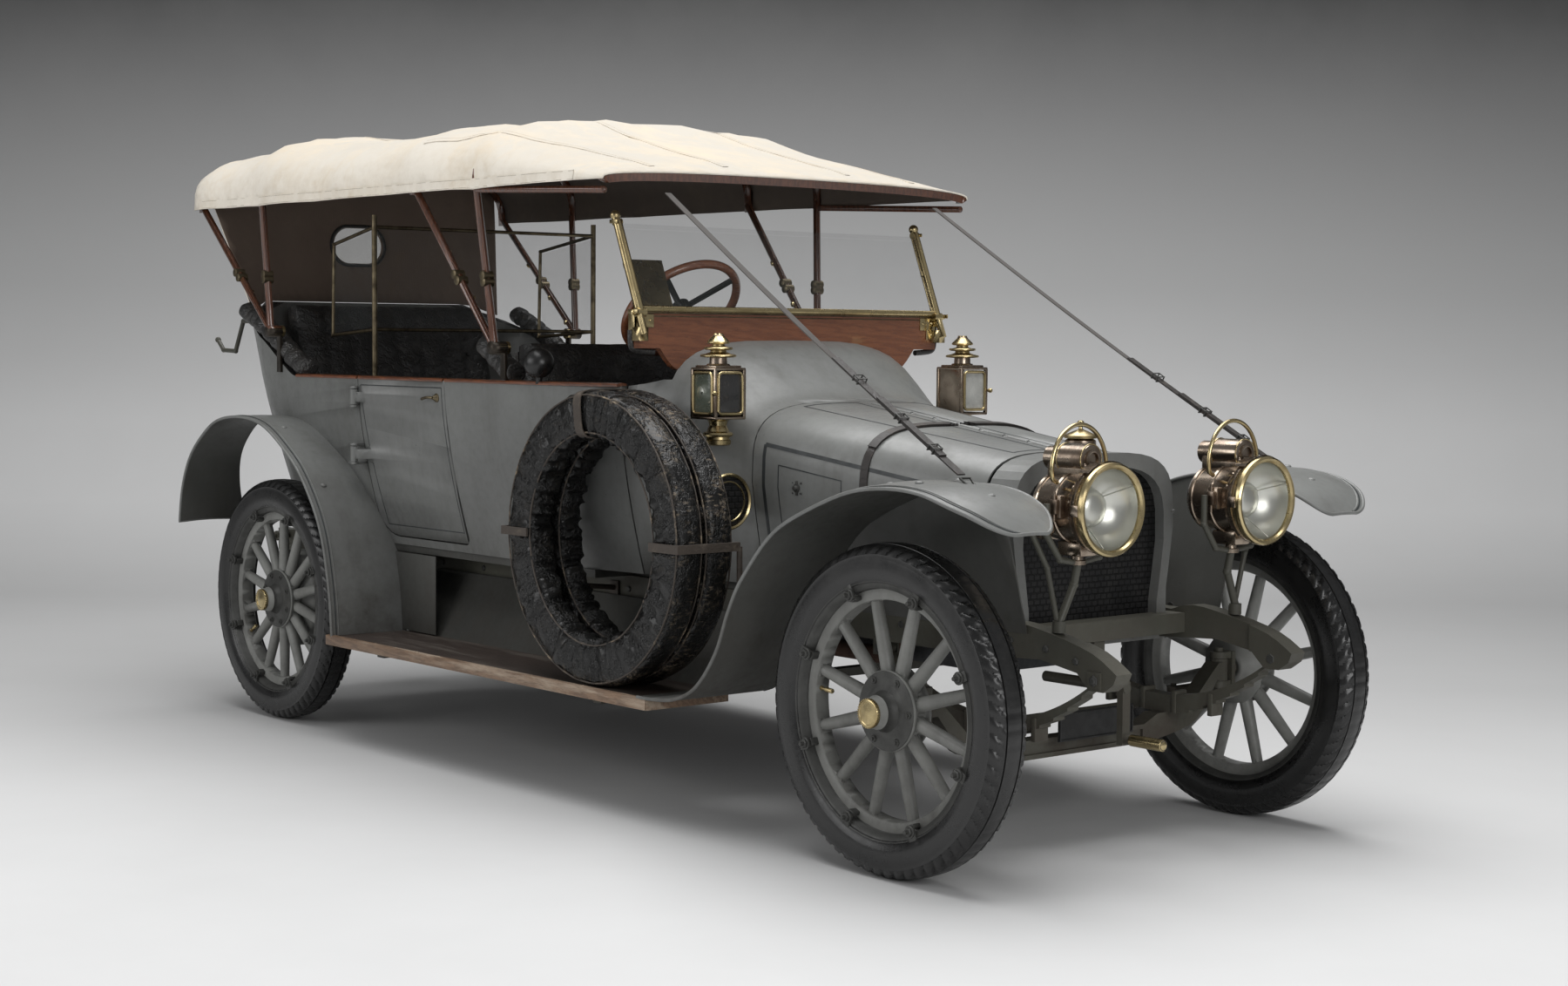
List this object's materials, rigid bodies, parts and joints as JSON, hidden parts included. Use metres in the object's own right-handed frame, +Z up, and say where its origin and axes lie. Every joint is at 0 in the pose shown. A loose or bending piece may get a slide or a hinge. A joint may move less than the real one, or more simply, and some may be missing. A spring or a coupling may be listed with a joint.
{
  "type": "vintage touring car",
  "caption": "Brass-era open touring car with wooden artillery wheels, folding canvas hood, side-mounted spare tyres, opening doors and bonnet, and working steering",
  "frame": {"origin": "on the ground, under the middle of the car's bounding box", "axes": "+X towards the front of the car, +Y to the car's left, +Z up"},
  "size_m": [4.4669, 1.532, 2.0166],
  "materials": {
    "body_paint": "satin, aged, with dark coach lines",
    "chassis_paint": "semi-gloss, dusty",
    "wheel_paint": "painted satin grey over wood",
    "tyre": "matt, worn tread",
    "engine_iron": "painted, oily",
    "exhaust_iron": "rusty",
    "radiator_core": "blackened fins",
    "floor_wood": "varnished boards",
    "board_wood": "worn linoleum-topped boards with pale edges",
    "seat_leather": "buttoned and pleated, worn",
    "cover_leather": "scuffed leathercloth",
    "lamp_metal": "dark nickel with bronze tone",
    "lamp_glass": "clear",
    "screen_glass": "clear",
    "mahogany": "varnished mahogany",
    "brass": "aged, polished on the edges",
    "canvas": "stained off-white canvas",
    "curtain_cloth": "dark lining cloth",
    "strap_leather": "matt",
    "plate_black": "blank black"
  },
  "bodies": {
    "car_body": {"chassis_frame": "chassis_paint", "engine_block": "engine_iron", "front_springs": "chassis_paint", "rear_springs": "chassis_paint", "front_axle": "chassis_paint", "rear_axle": "chassis_paint", "exhaust": "exhaust_iron", "radiator_shell": "body_paint", "radiator_core": "radiator_core", "filler_cap": "brass", "scuttle": "body_paint", "body_tub": "body_paint", "body_floor": "floor_wood", "seat_frames": "chassis_paint", "front_seat": "seat_leather", "rear_seat": "seat_leather", "leather_rolls": "seat_leather", "front_wings": "body_paint", "wing_valances": "chassis_paint", "rear_wings": "body_paint", "running_boards": "board_wood", "spare_tyres": "cover_leather", "spare_carrier": "chassis_paint", "lamp_brackets": "chassis_paint", "headlamps": "lamp_metal", "headlamp_glasses": "lamp_glass", "side_lamps": "lamp_metal", "screen_board": "mahogany", "windscreen_frame": "brass", "windscreen_glass": "screen_glass", "rear_screen_frame": "brass", "rear_screen_glass": "screen_glass", "hood_canopy": "canvas", "rear_curtain": "curtain_cloth", "hood_frame": "mahogany", "hood_straps": "strap_leather", "steering_column": "chassis_paint", "horn": "brass", "starting_crank": "chassis_paint", "number_plate": "plate_black", "hood_rests": "chassis_paint"},
    "steer_knuckle_right": {"knuckle_right": "chassis_paint"},
    "steer_knuckle_left": {"knuckle_left": "chassis_paint"},
    "tie_rod": {"track_rod": "chassis_paint"},
    "wheel_front_right_body": {"wheel_front_right": "wheel_paint", "tyre_front_right": "tyre"},
    "wheel_front_left_body": {"wheel_front_left": "wheel_paint", "tyre_front_left": "tyre"},
    "wheel_rear_right_body": {"wheel_rear_right": "wheel_paint", "tyre_rear_right": "tyre"},
    "wheel_rear_left_body": {"wheel_rear_left": "wheel_paint", "tyre_rear_left": "tyre"},
    "steering": {"steering_wheel": "mahogany"},
    "door_rear_right": {"rear_door_right": "body_paint"},
    "door_rear_left": {"rear_door_left": "body_paint"},
    "door_front_left": {"front_door_left": "body_paint"},
    "hood_leaf_right": {"bonnet_right": "body_paint"},
    "hood_leaf_left": {"bonnet_left": "body_paint"}
  },
  "joints": [
    {"name": "steer_right", "type": "hinge", "parent": "car_body", "child": "steer_knuckle_right", "pos_m": [1.7825, -0.56, 0.41], "axis": [0, 0, 1], "range_deg": [-30, 30]},
    {"name": "steer_left", "type": "hinge", "parent": "car_body", "child": "steer_knuckle_left", "pos_m": [1.7825, 0.56, 0.41], "axis": [0, 0, 1], "range_deg": [-30, 30]},
    {"name": "tie_rod_pivot", "type": "hinge", "parent": "steer_knuckle_right", "child": "tie_rod", "pos_m": [1.6225, -0.56, 0.315], "axis": [0, 0, 1], "range_deg": [-30, 30]},
    {"name": "steering_spin", "type": "hinge", "parent": "car_body", "child": "steering", "pos_m": [0.3875, -0.245, 1.398], "axis": [-0.7071, 0, 0.7071], "range_deg": [-240, 240]},
    {"name": "front_right_roll", "type": "hinge", "parent": "steer_knuckle_right", "child": "wheel_front_right_body", "pos_m": [1.7825, -0.65, 0.41], "axis": [0, 1, 0], "continuous": true},
    {"name": "front_left_roll", "type": "hinge", "parent": "steer_knuckle_left", "child": "wheel_front_left_body", "pos_m": [1.7825, 0.65, 0.41], "axis": [0, 1, 0], "continuous": true},
    {"name": "rear_right_roll", "type": "hinge", "parent": "car_body", "child": "wheel_rear_right_body", "pos_m": [-1.3175, -0.65, 0.41], "axis": [0, 1, 0], "continuous": true},
    {"name": "rear_left_roll", "type": "hinge", "parent": "car_body", "child": "wheel_rear_left_body", "pos_m": [-1.3175, 0.65, 0.41], "axis": [0, 1, 0], "continuous": true},
    {"name": "rear_right_door", "type": "hinge", "parent": "car_body", "child": "door_rear_right", "pos_m": [-0.9015, -0.614, 0.95], "axis": [0, 0, -1], "range_deg": [0, 65]},
    {"name": "rear_left_door", "type": "hinge", "parent": "car_body", "child": "door_rear_left", "pos_m": [-0.9015, 0.614, 0.95], "axis": [0, 0, 1], "range_deg": [0, 65]},
    {"name": "front_left_door", "type": "hinge", "parent": "car_body", "child": "door_front_left", "pos_m": [0.0235, 0.614, 0.95], "axis": [0, 0, 1], "range_deg": [0, 65]},
    {"name": "right_bonnet", "type": "hinge", "parent": "car_body", "child": "hood_leaf_right", "pos_m": [1.2825, 0, 1.081], "axis": [-0.9906, 0, 0.1365], "range_deg": [0, 60]},
    {"name": "left_bonnet", "type": "hinge", "parent": "car_body", "child": "hood_leaf_left", "pos_m": [1.2825, 0, 1.081], "axis": [0.9906, 0, -0.1365], "range_deg": [0, 60]}
  ],
  "couplings": [
    {"joint": "steer_left", "follows": "steer_right", "ratio": 1},
    {"joint": "tie_rod_pivot", "follows": "steer_right", "ratio": -1},
    {"joint": "steering_spin", "follows": "steer_right", "ratio": 8}
  ]
}
